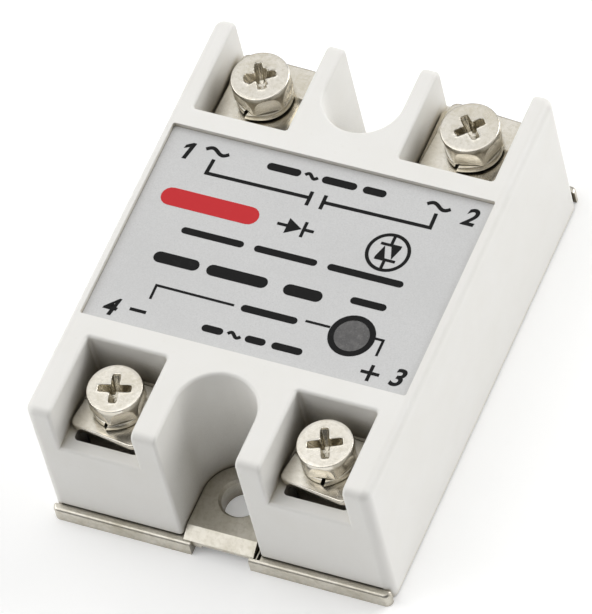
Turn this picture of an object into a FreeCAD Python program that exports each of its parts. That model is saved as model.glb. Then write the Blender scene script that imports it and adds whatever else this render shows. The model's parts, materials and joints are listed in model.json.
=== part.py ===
import FreeCAD, Part
import math
import os
from FreeCAD import Vector

# Solid state relay, panel-mount block with four screw terminals.
# Millimetres. X runs across the body, Y along it, Z up from the mounting face.
# The input terminals (3 and 4) are at -Y, the output terminals (1 and 2) at +Y.

# Housing
BODY_W = 45.0
BODY_L = 60.7
BODY_TOP = 22.5
CORNER_R = 1.3
TOP_EDGE_R = 1.1
RIM_R = 0.45
WALL = 1.5

# Base plate: a neck between the housing's side skirts, and wider lips beyond its ends
NECK_W = 42.6
LIP_W = 44.8
PLATE_L = 62.8
PLATE_T = 2.1
PLATE_CORNER_R = 0.8
PLATE_EDGE_R = 0.45
SKIRT_BOTTOM = 0.15
SEAL_T = 0.25
SEAL_INSET = 0.35

# Mounting notch, and the raised pad that the mounting screw bears on
MOUNT_PITCH = 47.5
MOUNT_HOLE_R = 2.5
MOUNT_HOLE_CHAMFER = 0.35
NOTCH_HALF_W = 5.15
NOTCH_DEPTH = 11.65
PAD_HALF_W = 4.65
PAD_OFFSET = -0.3
PAD_TOP = 3.0
PAD_BEVEL_Y = 29.05
PAD_FRONT_Y = 30.75
PAD_LIP_T = 0.5
UNDERCUT_Y = 28.75
LIP_GAP_HALF_W = 3.9
TAB_X = (-3.9, -2.6)
TAB_DROP = 0.45
GROOVES_X = ((4.4, 4.7), (4.85, 5.25))
GROOVE_Y = 28.6
GROOVE_BOTTOM = 0.8

# Label pocket and label
POCKET_X = 21.4
POCKET_Y_FRONT = -15.45
POCKET_Y_BACK = 13.85
POCKET_DEPTH = 0.85
LABEL_T = 0.2
LABEL_GAP = 0.05

# Indicator
INDICATOR_X = 11.65
INDICATOR_Y = -8.9
INDICATOR_R = 2.2
ROOF_T = 1.4
PIPE_BOTTOM = 11.2
PIPE_COLLAR_T = 0.8
PIPE_COLLAR_W = 0.9

# Terminal recesses: the floor height, and for each end the two side walls and the inner wall
FLOOR_Z = 15.2
INPUT_RECESS = (8.5, 19.05, 18.35)
OUTPUT_RECESS = (7.4, 19.95, 16.65)
RECESS_CORNER_R = 0.4

# Terminal hardware shared by both ends
THREAD_R = 1.95
THREAD_ROOT_R = 1.62
THREAD_PITCH = 0.7
NUT_BORE_R = 2.0
NUT_SIDE = 7.0
NUT_T = 3.2
CLEAR_HOLE_R = 2.15
WELL_R = 2.5
WELL_EXTRA = 0.5
BOSS_FLOOR_T = 0.8
BOSS_HALF_W = 5.4
FIT_GAP = 0.05

# Terminal bar: its thickness, the way its leg stands in from the recess, and its slot's overrun
BAR_T = 1.0
BAR_LEG_IN = 2.9
SLOT_IN = 3.0
SLOT_OUT = 1.0

# The wide seat above each input nut: half its width, and its reach in front of and behind the screw
SEAT_HALF_W = 4.2
SEAT_FRONT = 5.3
SEAT_BACK = 4.3

# Screw head: flats that lean out as they rise, under a round rim, and the driver cross
HEAD_LEAN = 8.5
HEAD_SWELL = 0.17
HEAD_SHOULDER_H = 0.5
HEAD_EDGE = 0.12
HEAD_FOOT = 0.2
CROSS_DEPTH = 1.9
CROSS_TOP = (2.15, 0.55)
CROSS_FLOOR = (0.7, 0.3)

# Circuit board and the parts on it, and the stack on the base plate under them
BOARD_BOTTOM = 8.0
BOARD_T = 1.6
BOARD_TOP = BOARD_BOTTOM + BOARD_T
POTTING_TOP = 7.5
BOARD_HALF_W = 20.4
BOARD_Y = (-16.65, 14.95)
LEAD_R = 0.3
STOUT_LEAD_R = 0.35
LEG_PITCH = 2.54
INSULATOR_T = 0.65
INSULATOR_HALF = (11.0, 9.0)
SPREADER_T = 1.0
SPREADER_HALF = (9.0, 7.5)

# Power switch package
TRIAC_HALF = (6.5, 5.5)
TRIAC_H = 3.2
TRIAC_LEG_PITCH = 3.8
TRIAC_LEG_W = 1.0
TRIAC_LEG_T = 0.6
TRIAC_LEG_REACH = 3.0

# Parts on the board: centre (x, y) and sizes
OPTO_AT = (-3.0, 1.5)
OPTO_HALF = (4.3, 3.2)
OPTO_H = 3.3
OPTO_STAND = 0.5
OPTO_LEG_OUT = 0.7
OPTO_LEG_T = 0.3
RESISTORS_AT = ((-14.0, -4.0), (-14.0, -0.5), (-14.0, 3.0), (3.5, -12.0))
DIODE_AT = (-6.5, -12.0)
CAPACITOR_AT = (11.0, 9.7)
CAPACITOR_SIZE = (13.0, 5.0, 9.0)
CAPACITOR_PITCH = 10.0
VARISTOR_AT = (-10.0, 9.7)
VARISTOR_R = 3.9
VARISTOR_T = 3.2
TRANSISTOR_AT = (4.0, -5.5)
TRANSISTOR_R = 2.3
TRANSISTOR_H = 4.6


class Terminal:
    """One screw terminal: where it stands and the sizes that differ between input and output."""

    def __init__(self, number, side_x, end, turn, cross_deg, hex_deg, split_deg):
        self.number = number
        self.end = end
        self.is_input = end < 0
        self.recess = INPUT_RECESS if self.is_input else OUTPUT_RECESS
        self.x = side_x * (13.8 if self.is_input else 14.0)
        self.y = end * (23.25 if self.is_input else 23.65)
        self.side_x = side_x
        self.turn = turn
        self.cross_deg = cross_deg
        self.hex_deg = hex_deg
        self.split_deg = split_deg
        self.clamp_w = 9.4 if self.is_input else 11.2
        self.clamp_d = 8.9 if self.is_input else 11.2
        self.clamp_shift_x = 0.0 if self.is_input else -0.15 * side_x
        self.clamp_shift_y = 0.15 * end if self.is_input else 0.0
        self.clamp_t = 1.0 if self.is_input else 0.9
        self.clamp_step = 0.25 if self.is_input else 0.3
        self.clamp_step_y = 0.35 if self.is_input else 0.8
        self.clamp_bottom = FLOOR_Z if self.is_input else FLOOR_Z + BAR_T
        self.bar_half_w = 3.8 if self.is_input else 4.0
        self.bar_reach = 3.4 if self.is_input else 5.0
        self.bar_top = FLOOR_Z - 0.1 if self.is_input else FLOOR_Z + BAR_T
        self.nut_top = self.bar_top - BAR_T
        self.washer_t = 1.05 if self.is_input else 1.1
        self.washer_r = 3.35 if self.is_input else 3.6
        self.head_flats = 6.3 if self.is_input else 6.6
        self.face_r = 3.36 if self.is_input else 3.56
        self.head_h = 2.9 if self.is_input else 3.35
        self.shank = 8.0 if self.is_input else 8.5

    @property
    def washer_bottom(self):
        return self.clamp_bottom + self.clamp_step + self.clamp_t

    @property
    def head_bottom(self):
        return self.washer_bottom + self.washer_t

    @property
    def nut_bottom(self):
        return self.nut_top - NUT_T

    @property
    def well_bottom(self):
        return self.head_bottom - self.shank - WELL_EXTRA

    @property
    def boss_bottom(self):
        return self.well_bottom - BOSS_FLOOR_T


# Number, side, end, then degrees: clamp plate's turn, driver cross, hexagon, lock washer's split
TERMINALS = (
    Terminal(1, -1, 1, -1.5, 30.0, 3.0, -110.0),
    Terminal(2, 1, 1, -4.0, 46.0, 42.0, -105.0),
    Terminal(3, 1, -1, -7.0, 23.5, 39.0, -81.0),
    Terminal(4, -1, -1, -7.0, 14.5, 5.0, -96.0),
)


# Basic solids

def box(x, y, z):
    """A box from three (low, high) pairs."""
    size = [pair[1] - pair[0] for pair in (x, y, z)]
    return Part.makeBox(size[0], size[1], size[2], Vector(x[0], y[0], z[0]))


def cylinder(radius, x, y, z):
    return Part.makeCylinder(radius, z[1] - z[0], Vector(x, y, z[0]))


def cone(r_low, r_high, x, y, z):
    return Part.makeCone(r_low, r_high, z[1] - z[0], Vector(x, y, z[0]))


def outline(corners, z):
    """A closed wire through (x, y, radius) corners, with a tangent arc where the radius isn't 0."""
    count = len(corners)
    edges = []
    ends = []
    for i in range(count):
        here = Vector(corners[i][0], corners[i][1], z)
        before = Vector(corners[i - 1][0], corners[i - 1][1], z)
        after = Vector(corners[(i + 1) % count][0], corners[(i + 1) % count][1], z)
        radius = corners[i][2]
        to_before = (before - here).normalize()
        to_after = (after - here).normalize()
        half = to_before.getAngle(to_after) / 2
        reach = radius / math.tan(half)
        start = here + to_before * reach
        stop = here + to_after * reach
        ends.append((start, stop))
        if radius > 0:
            middle_line = (to_before + to_after).normalize()
            middle = here + middle_line * (radius / math.sin(half) - radius)
            edges.append(Part.Arc(start, middle, stop).toShape())
    for i in range(count):
        start = ends[i][1]
        stop = ends[(i + 1) % count][0]
        if start.distanceToPoint(stop) > 1e-6:
            edges.append(Part.makeLine(start, stop))
    return Part.Wire(Part.__sortEdges__(edges))


def prism(corners, z):
    """The outline's face, from z[0] up to z[1]."""
    return Part.Face(outline(corners, z[0])).extrude(Vector(0, 0, z[1] - z[0]))


def rounded_rect(x, y, radius):
    return [(x[0], y[0], radius), (x[1], y[0], radius), (x[1], y[1], radius), (x[0], y[1], radius)]


def fuse_all(shapes):
    return shapes[0].multiFuse(shapes[1:]).removeSplitter()


def end_span(end, inner, outer):
    """The (low, high) pair in Y of a stretch from |y| = inner to |y| = outer at one end."""
    return (inner, outer) if end > 0 else (-outer, -inner)


def side_span(side, inner, outer):
    return (inner, outer) if side > 0 else (-outer, -inner)


def place(shape, x, y, z, turn=0.0):
    shape.rotate(Vector(0, 0, 0), Vector(0, 0, 1), turn)
    shape.translate(Vector(x, y, z))
    return shape


# Outlines shared by several parts

def notch_corners(end, half_w, inner_y, outer_y):
    """A U that is open past the end face, its round end of radius half_w."""
    return [
        (-half_w, end * outer_y, 0), (-half_w, end * inner_y, half_w),
        (half_w, end * inner_y, half_w), (half_w, end * outer_y, 0),
    ]


def notch_inner_y():
    return BODY_L / 2 - NOTCH_DEPTH


def body_block(inset, z, corner_r):
    half_w = BODY_W / 2 - inset
    half_l = BODY_L / 2 - inset
    return prism(rounded_rect((-half_w, half_w), (-half_l, half_l), corner_r), z)


def wall_ring_void(offset, z):
    """The body's footprint, offset inwards from the outer walls and away from both notches."""
    solid = body_block(offset, z, max(CORNER_R - offset, 0.3))
    for end in (-1, 1):
        notch = notch_corners(end, NOTCH_HALF_W + offset, notch_inner_y() - offset, BODY_L / 2 + 1)
        solid = solid.cut(prism(notch, z))
    return solid


# Housing

def rim_edges(body, block, tool):
    """Edges that a cutting tool left on the block's outer surface, above the bottom edge."""
    skin = block.Shells[0]
    found = []
    for edge in body.Edges:
        middle = edge.valueAt((edge.FirstParameter + edge.LastParameter) / 2)
        if middle.z < SEAL_T + PLATE_T + 0.5:
            continue
        on_skin = skin.distToShape(Part.Vertex(middle))[0] < 1e-5
        if on_skin and tool.Shells[0].distToShape(Part.Vertex(middle))[0] < 1e-5:
            found.append(edge)
    return found


def outer_block():
    """The block before its recesses, with a skirt down each long side that hides the plate."""
    block = body_block(0, (SKIRT_BOTTOM, BODY_TOP), CORNER_R)
    top_edges = [edge for edge in block.Edges if edge.BoundBox.ZMin > BODY_TOP - 0.01]
    block = block.makeFillet(TOP_EDGE_R, top_edges)
    half_w = NECK_W / 2 + FIT_GAP
    return block.cut(box((-half_w, half_w), (-BODY_L, BODY_L), (-1, PLATE_T + SEAL_T)))


def recess_tool(terminal):
    inner_x, outer_x, inner_y = terminal.recess
    x = side_span(terminal.side_x, inner_x, outer_x)
    y_in = terminal.end * inner_y
    y_out = terminal.end * (BODY_L / 2 + 2)
    corners = [
        (x[0], y_in, RECESS_CORNER_R), (x[1], y_in, RECESS_CORNER_R), (x[1], y_out, 0), (x[0], y_out, 0),
    ]
    return prism(corners, (FLOOR_Z, BODY_TOP + 2))


def notch_tool(end):
    corners = notch_corners(end, NOTCH_HALF_W, notch_inner_y(), BODY_L / 2 + 2)
    return prism(corners, (0, BODY_TOP + 2))


def boss_block(terminal):
    """Solid plastic kept around a nut pocket."""
    x = (terminal.x - BOSS_HALF_W, terminal.x + BOSS_HALF_W)
    y = end_span(terminal.end, terminal.recess[2] - WALL, BODY_L / 2)
    return box(x, y, (terminal.boss_bottom, FLOOR_Z))


def cavity():
    """The hollow inside the housing, open at the bottom."""
    bottom = PLATE_T + SEAL_T
    roof = BODY_TOP - POCKET_DEPTH - ROOF_T
    ends = wall_ring_void(WALL, (bottom, FLOOR_Z - WALL))
    half_w = BODY_W / 2 - WALL
    y = (-INPUT_RECESS[2] + WALL, OUTPUT_RECESS[2] - WALL)
    middle = box((-half_w, half_w), y, (bottom, roof))
    for terminal in TERMINALS:
        ends = ends.cut(boss_block(terminal))
    return ends.fuse(middle).removeSplitter()


def nut_pocket(terminal):
    """The square pocket for the nut and its well, and at the input the wider slot above it."""
    half = NUT_SIDE / 2 + FIT_GAP
    x, y = terminal.x, terminal.y
    top = FLOOR_Z + 0.01
    tool = box((x - half, x + half), (y - half, y + half), (terminal.nut_bottom, top))
    tool = tool.fuse(cylinder(WELL_R, x, y, (terminal.well_bottom, terminal.nut_bottom + 0.1)))
    if terminal.is_input:
        wide = (x - SEAT_HALF_W, x + SEAT_HALF_W)
        seat_y = (y - SEAT_FRONT, y + SEAT_BACK)
        front_y = (y - SEAT_FRONT, y - half + 0.2)
        seat = prism(rounded_rect(wide, seat_y, 1.1), (terminal.nut_top, top))
        front = prism(rounded_rect(wide, front_y, 0.6), (terminal.nut_bottom, top))
        tool = tool.fuse([seat, front])
    return tool


def bar_slot(terminal):
    """The slot through the recess's inner wall that the terminal bar passes."""
    half = terminal.bar_half_w + FIT_GAP
    x = (terminal.x - half, terminal.x + half)
    wall_y = terminal.recess[2]
    y = end_span(terminal.end, wall_y - SLOT_IN, wall_y + SLOT_OUT)
    return box(x, y, (terminal.bar_top - BAR_T, terminal.bar_top + FIT_GAP))


def housing():
    block = outer_block()
    body = block
    for tool in [notch_tool(-1), notch_tool(1)] + [recess_tool(t) for t in TERMINALS]:
        body = body.cut(tool)
        body = body.makeFillet(RIM_R, rim_edges(body, block, tool))
    pocket_x = (-POCKET_X, POCKET_X)
    pocket_y = (POCKET_Y_FRONT, POCKET_Y_BACK)
    pocket_floor = BODY_TOP - POCKET_DEPTH
    body = body.cut(prism(rounded_rect(pocket_x, pocket_y, 0.3), (pocket_floor, BODY_TOP + 1)))
    body = body.cut(cavity())
    body = body.cut(cylinder(INDICATOR_R + FIT_GAP, INDICATOR_X, INDICATOR_Y, (10, BODY_TOP)))
    for terminal in TERMINALS:
        body = body.cut(nut_pocket(terminal))
        body = body.cut(bar_slot(terminal))
    return body


# Base plate, seal and potting

def pad(end):
    """The raised pad in a notch: a U with a bevelled front, on top of the plate."""
    inner_y = notch_inner_y() + 0.5
    corners = notch_corners(end, PAD_HALF_W, inner_y, PAD_FRONT_Y)
    solid = prism(corners, (PLATE_T, PAD_TOP))
    side = PAD_HALF_W + 1
    profile = [
        Vector(-side, end * PAD_BEVEL_Y, PAD_TOP), Vector(-side, end * (PAD_FRONT_Y + 1), PAD_TOP),
        Vector(-side, end * (PAD_FRONT_Y + 1), PLATE_T), Vector(-side, end * PAD_FRONT_Y, PLATE_T),
    ]
    bevel = Part.Face(Part.makePolygon(profile + profile[:1])).extrude(Vector(2 * side, 0, 0))
    solid = solid.cut(bevel)
    solid.translate(Vector(PAD_OFFSET, 0, 0))
    return solid


def plate_corners():
    """The plate's outline: full-width lips at the ends and a narrower neck between them."""
    lip, neck = LIP_W / 2, NECK_W / 2
    end, step = PLATE_L / 2, BODY_L / 2 + FIT_GAP
    right = [
        (lip, -end, PLATE_CORNER_R), (lip, -step, 0), (neck, -step, 0),
        (neck, step, 0), (lip, step, 0), (lip, end, PLATE_CORNER_R),
    ]
    return right + [(-x, y, radius) for x, y, radius in reversed(right)]


def plate_cuts(end):
    """At one end: the gap between the lips, the undercut of the pad and two relief grooves beside it."""
    outer_y = PLATE_L / 2 + 1
    gap_x = (-LIP_GAP_HALF_W, LIP_GAP_HALF_W)
    gap = box(gap_x, end_span(end, PAD_FRONT_Y, outer_y), (-1, PAD_TOP + 1))
    under = box(gap_x, end_span(end, UNDERCUT_Y, outer_y), (-1, PLATE_T - PAD_LIP_T))
    grooves = [box(x, end_span(end, GROOVE_Y, outer_y - 1.5), (GROOVE_BOTTOM, PAD_TOP)) for x in GROOVES_X]
    return [gap, under] + grooves


def mount_hole(end):
    y = end * MOUNT_PITCH / 2
    chamfer_z = (PAD_TOP - MOUNT_HOLE_CHAMFER, PAD_TOP)
    chamfer = cone(MOUNT_HOLE_R, MOUNT_HOLE_R + MOUNT_HOLE_CHAMFER, 0, y, chamfer_z)
    return cylinder(MOUNT_HOLE_R, 0, y, (-1, PAD_TOP + 1)).fuse(chamfer)


def base_plate():
    plate = prism(plate_corners(), (0, PLATE_T))
    rim = [edge for edge in plate.Edges
           if edge.BoundBox.ZMin > PLATE_T - 0.01 and abs(edge.CenterOfMass.y) > BODY_L / 2 + 2 * FIT_GAP]
    plate = plate.makeFillet(PLATE_EDGE_R, rim)
    for end in (-1, 1):
        plate = plate.fuse(pad(end))
        for tool in plate_cuts(end) + [mount_hole(end)]:
            plate = plate.cut(tool)
        tab_z = (PLATE_T - PAD_LIP_T - TAB_DROP, PLATE_T - PAD_LIP_T)
        plate = plate.fuse(box(TAB_X, end_span(end, UNDERCUT_Y - 0.5, PAD_FRONT_Y), tab_z))
    return plate.removeSplitter()


def seal_gasket():
    """The bead between the plate and the housing's bottom edge, inside the side skirts."""
    z = (PLATE_T, PLATE_T + SEAL_T)
    ring = wall_ring_void(SEAL_INSET, z).cut(wall_ring_void(WALL, z))
    return ring.common(box((-NECK_W / 2, NECK_W / 2), (-BODY_L, BODY_L), z))


def potting_compound(inside):
    lower = wall_ring_void(WALL, (PLATE_T, POTTING_TOP))
    return lower.cut(fuse_all(inside))


# Label and indicator

def label():
    gap = LABEL_GAP
    x = (-POCKET_X + gap, POCKET_X - gap)
    y = (POCKET_Y_FRONT + gap, POCKET_Y_BACK - gap)
    bottom = BODY_TOP - POCKET_DEPTH
    sheet = prism(rounded_rect(x, y, 0.3), (bottom, bottom + LABEL_T))
    return sheet.cut(cylinder(INDICATOR_R + FIT_GAP, INDICATOR_X, INDICATOR_Y, (0, BODY_TOP)))


def light_pipe():
    """The indicator's window, a plain rod with a collar that stops it under the roof."""
    roof = BODY_TOP - POCKET_DEPTH - ROOF_T
    x, y = INDICATOR_X, INDICATOR_Y
    top = BODY_TOP - POCKET_DEPTH + LABEL_T
    rod = cylinder(INDICATOR_R, x, y, (PIPE_BOTTOM, top))
    collar = cylinder(INDICATOR_R + PIPE_COLLAR_W, x, y, (roof - PIPE_COLLAR_T, roof))
    return rod.fuse(collar).removeSplitter()


def indicator_led():
    z = BOARD_TOP
    x, y = INDICATOR_X, INDICATOR_Y
    base = box((x - 1.6, x + 1.6), (y - 0.8, y + 0.8), (z, z + 0.7))
    dome = cylinder(0.7, x, y, (z + 0.7, z + 1.2))
    return base.fuse(dome)


# Terminals

def terminal_bar(terminal):
    """The plated bar that the clamp presses the wire on, bent down to the circuit board."""
    end = terminal.end
    top = terminal.bar_top
    low = top - BAR_T
    inner_x, outer_x, inner_y = terminal.recess
    leg_y = inner_y - BAR_LEG_IN
    outer_y = abs(terminal.y) + terminal.bar_reach
    x = (terminal.x - terminal.bar_half_w, terminal.x + terminal.bar_half_w)
    strip = box(x, end_span(end, leg_y, outer_y), (low, top))
    leg = box(x, end_span(end, leg_y, leg_y + BAR_T), (BOARD_TOP, low))
    bar = strip.fuse(leg)
    if not terminal.is_input:
        wide_x = side_span(terminal.side_x, inner_x + 0.2, outer_x - 0.2)
        wide_y = end_span(end, inner_y + 0.15, outer_y)
        bar = bar.fuse(prism(rounded_rect(wide_x, wide_y, 0.4), (low, top)))
    bar = bar.removeSplitter()
    return bar.cut(cylinder(CLEAR_HOLE_R, terminal.x, terminal.y, (low - 1, top + 1)))


def terminal_nut(terminal):
    half = NUT_SIDE / 2
    z = (terminal.nut_bottom, terminal.nut_top)
    nut = prism(rounded_rect((-half, half), (-half, half), 0.4), z)
    nut = nut.cut(cylinder(NUT_BORE_R, 0, 0, (z[0] - 1, z[1] + 1)))
    return place(nut, terminal.x, terminal.y, 0)


def clamp_plate(terminal):
    """A square plate with a step across its middle, the outer half standing higher."""
    half_w = terminal.clamp_w / 2
    half_d = terminal.clamp_d / 2
    t = terminal.clamp_t
    step = terminal.clamp_step
    y = terminal.clamp_step_y
    profile = [
        (-half_d, 0), (y, 0), (y + step / 2, step), (half_d, step),
        (half_d, step + t), (y, step + t), (y - step / 2, t), (-half_d, t),
    ]
    points = [Vector(-half_w, v, z) for v, z in profile]
    plate = Part.Face(Part.makePolygon(points + points[:1])).extrude(Vector(2 * half_w, 0, 0))
    trim = prism(rounded_rect((-half_w, half_w), (-half_d, half_d), 0.8), (-1, step + t + 1))
    plate = plate.common(trim).cut(cylinder(CLEAR_HOLE_R, 0, 0, (-1, step + t + 1)))
    half_turn = 180.0 if terminal.is_input else 0.0
    centre_x = terminal.x + terminal.clamp_shift_x
    centre_y = terminal.y + terminal.clamp_shift_y
    return place(plate, centre_x, centre_y, terminal.clamp_bottom, half_turn + terminal.turn)


def spring_washer(terminal):
    """A split ring of square section, its split cut on the slant."""
    t = terminal.washer_t
    ring = cylinder(terminal.washer_r, 0, 0, (0, t)).cut(cylinder(CLEAR_HOLE_R, 0, 0, (-1, t + 1)))
    slant = 0.35
    cut = [
        Vector(1.0, -0.3 - slant, -0.1), Vector(1.0, 0.3 - slant, -0.1),
        Vector(1.0, 0.3 + slant, t + 0.1), Vector(1.0, -0.3 + slant, t + 0.1),
    ]
    split = Part.Face(Part.makePolygon(cut + cut[:1])).extrude(Vector(terminal.washer_r + 1, 0, 0))
    return place(ring.cut(split), terminal.x, terminal.y, terminal.washer_bottom, terminal.split_deg)


def cross_loop(half, z):
    """The corners of one arm's section, half its length and half its width given."""
    length, width = half
    corners = [
        Vector(-length, -width, z), Vector(length, -width, z),
        Vector(length, width, z), Vector(-length, width, z),
    ]
    return Part.makePolygon(corners + corners[:1])


def driver_cross():
    """A cross recess of two tapering slots, its open end at z = 0, pointing down."""
    loops = [cross_loop(CROSS_FLOOR, -CROSS_DEPTH), cross_loop(CROSS_TOP, 0.01)]
    slot = Part.makeLoft(loops, True, True)
    crossing = slot.copy()
    crossing.rotate(Vector(0, 0, 0), Vector(0, 0, 1), 90)
    return slot.fuse(crossing)


def revolved(points):
    """The solid of revolution about Z of a half-section given as (radius, z) points."""
    corners = [Vector(r, 0, z) for r, z in points]
    face = Part.Face(Part.makePolygon(corners + corners[:1]))
    return face.revolve(Vector(0, 0, 0), Vector(0, 0, 1), 360)


def screw_shank(length):
    """The threaded shank, its thread as rings, from its tip up into the head."""
    points = [(0, -length), (THREAD_ROOT_R - 0.3, -length)]
    z = -length + 0.3
    while z + THREAD_PITCH < -0.4:
        points.append((THREAD_ROOT_R, z))
        points.append((THREAD_R, z + 0.4 * THREAD_PITCH))
        points.append((THREAD_R, z + 0.6 * THREAD_PITCH))
        z += THREAD_PITCH
    points.append((THREAD_ROOT_R, z))
    points.append((THREAD_ROOT_R, 0.2))
    points.append((0, 0.2))
    return revolved(points)


def flat_cutter(half_flats, turn):
    """A block whose near side is a leaning flat that faces the given direction in degrees."""
    block = box((0, 4), (-6, 6), (-6, 8))
    block.rotate(Vector(0, 0, 0), Vector(0, 1, 0), HEAD_LEAN)
    block.translate(Vector(half_flats, 0, 0))
    block.rotate(Vector(0, 0, 0), Vector(0, 0, 1), turn)
    return block


def screw_head(terminal):
    """A round head with a flat top, and six leaning flats that run out below its rim."""
    h = terminal.head_h
    body_r = terminal.face_r + HEAD_SWELL
    head = revolved([
        (0, 0), (body_r - HEAD_FOOT, 0), (body_r, HEAD_FOOT), (body_r, h - HEAD_SHOULDER_H),
        (terminal.face_r + 0.1, h - HEAD_EDGE), (terminal.face_r, h), (0, h),
    ])
    turn = terminal.hex_deg - terminal.cross_deg
    for side in range(6):
        head = head.cut(flat_cutter(terminal.head_flats / 2, turn + 60 * side))
    return head


def terminal_screw(terminal):
    screw = screw_head(terminal).fuse(screw_shank(terminal.shank))
    cross = driver_cross()
    cross.translate(Vector(0, 0, terminal.head_h))
    screw = screw.cut(cross).removeSplitter()
    return place(screw, terminal.x, terminal.y, terminal.head_bottom, terminal.cross_deg)


# Circuit inside the housing

def circuit_board():
    return prism(rounded_rect((-BOARD_HALF_W, BOARD_HALF_W), BOARD_Y, 0.8), (BOARD_BOTTOM, BOARD_TOP))


def ceramic_insulator():
    half_w, half_l = INSULATOR_HALF
    return box((-half_w, half_w), (-half_l, half_l), (PLATE_T, PLATE_T + INSULATOR_T))


def heat_spreader():
    half_w, half_l = SPREADER_HALF
    low = PLATE_T + INSULATOR_T
    return prism(rounded_rect((-half_w, half_w), (-half_l, half_l), 1.0), (low, low + SPREADER_T))


def power_triac():
    """The moulded power switch, with three legs up to the board."""
    half_w, half_l = TRIAC_HALF
    low = PLATE_T + INSULATOR_T + SPREADER_T
    leg_low = low + TRIAC_H / 2
    leg_end = half_l + TRIAC_LEG_REACH
    body = prism(rounded_rect((-half_w, half_w), (-half_l, half_l), 0.6), (low, low + TRIAC_H))
    legs = []
    for n in (-1, 0, 1):
        x = (n * TRIAC_LEG_PITCH - TRIAC_LEG_W / 2, n * TRIAC_LEG_PITCH + TRIAC_LEG_W / 2)
        flat = box(x, (half_l, leg_end), (leg_low, leg_low + TRIAC_LEG_T))
        up = box(x, (leg_end - TRIAC_LEG_T, leg_end), (leg_low + TRIAC_LEG_T, BOARD_BOTTOM))
        legs.append(flat.fuse(up))
    return fuse_all([body] + legs)


def optocoupler():
    """A six-leg moulded package with a half-round mark at its first leg's end."""
    cx, cy = OPTO_AT
    half_w, half_l = OPTO_HALF
    low = BOARD_TOP + OPTO_STAND
    top = low + OPTO_H
    body = box((cx - half_w, cx + half_w), (cy - half_l, cy + half_l), (low, top))
    mark = cylinder(0.8, cx - half_w, cy, (top - 0.7, top + 1))
    shoulder_z = (low + 1.2, low + 1.2 + OPTO_LEG_T)
    legs = []
    for n in (-1, 0, 1):
        x = cx + n * LEG_PITCH
        for side in (-1, 1):
            shoulder_y = side_span(side, half_l, half_l + OPTO_LEG_OUT)
            drop_y = side_span(side, half_l + OPTO_LEG_OUT - OPTO_LEG_T, half_l + OPTO_LEG_OUT)
            shoulder = box((x - 0.4, x + 0.4), shoulder_y, shoulder_z)
            drop = box((x - 0.3, x + 0.3), drop_y, (BOARD_TOP, shoulder_z[1]))
            legs.append(place(shoulder.fuse(drop), 0, cy, 0))
    return fuse_all([body.cut(mark)] + legs)


def axial_part(x, y, length, radius, lead_span):
    """A cylinder lying along X with a wire at each end bent down to the board."""
    z = BOARD_TOP + radius + 0.2
    body = Part.makeCylinder(radius, length, Vector(x - length / 2, y, z), Vector(1, 0, 0))
    body = body.makeChamfer(0.25, body.Edges)
    wire = Part.makeCylinder(LEAD_R, lead_span, Vector(x - lead_span / 2, y, z), Vector(1, 0, 0))
    reach = lead_span / 2 - LEAD_R
    legs = [cylinder(0.8 * LEAD_R, x + side * reach, y, (BOARD_TOP, z)) for side in (-1, 1)]
    return fuse_all([body, wire] + legs)


def resistors():
    return Part.makeCompound([axial_part(x, y, 6.3, 1.15, 9.0) for x, y in RESISTORS_AT])


def input_diode():
    return axial_part(DIODE_AT[0], DIODE_AT[1], 4.2, 1.35, 7.6)


def snubber_capacitor():
    """A rounded box on two wires."""
    cx, cy = CAPACITOR_AT
    length, width, height = CAPACITOR_SIZE
    low = BOARD_TOP + 0.3
    body = box((cx - length / 2, cx + length / 2), (cy - width / 2, cy + width / 2), (low, low + height))
    body = body.makeFillet(0.5, body.Edges)
    reach = CAPACITOR_PITCH / 2
    legs = [cylinder(STOUT_LEAD_R, cx + side * reach, cy, (BOARD_TOP, low + 0.7)) for side in (-1, 1)]
    return fuse_all([body] + legs)


def varistor():
    """A disc on edge, on two wires."""
    cx, cy = VARISTOR_AT
    centre_z = BOARD_TOP + VARISTOR_R + 0.7
    start = Vector(cx, cy - VARISTOR_T / 2, centre_z)
    disc = Part.makeCylinder(VARISTOR_R, VARISTOR_T, start, Vector(0, 1, 0))
    disc = disc.makeFillet(1.2, disc.Edges)
    legs = [cylinder(STOUT_LEAD_R, cx + side * 2.0, cy, (BOARD_TOP, BOARD_TOP + 2.4)) for side in (-1, 1)]
    return fuse_all([disc] + legs)


def drive_transistor():
    """A small half-round package on three wires."""
    x, y = TRANSISTOR_AT
    low = BOARD_TOP + 1.5
    flat_y = y + 1.3
    body = cylinder(TRANSISTOR_R, x, y, (low, low + TRANSISTOR_H))
    body = body.cut(box((x - 3, x + 3), (flat_y, flat_y + 2), (low - 1, low + TRANSISTOR_H + 1)))
    legs = []
    for n in (-1, 0, 1):
        leg_x = x + n * LEG_PITCH / 2
        legs.append(box((leg_x - 0.25, leg_x + 0.25), (y - 0.25, y + 0.25), (BOARD_TOP, low)))
    return fuse_all([body] + legs)


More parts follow.
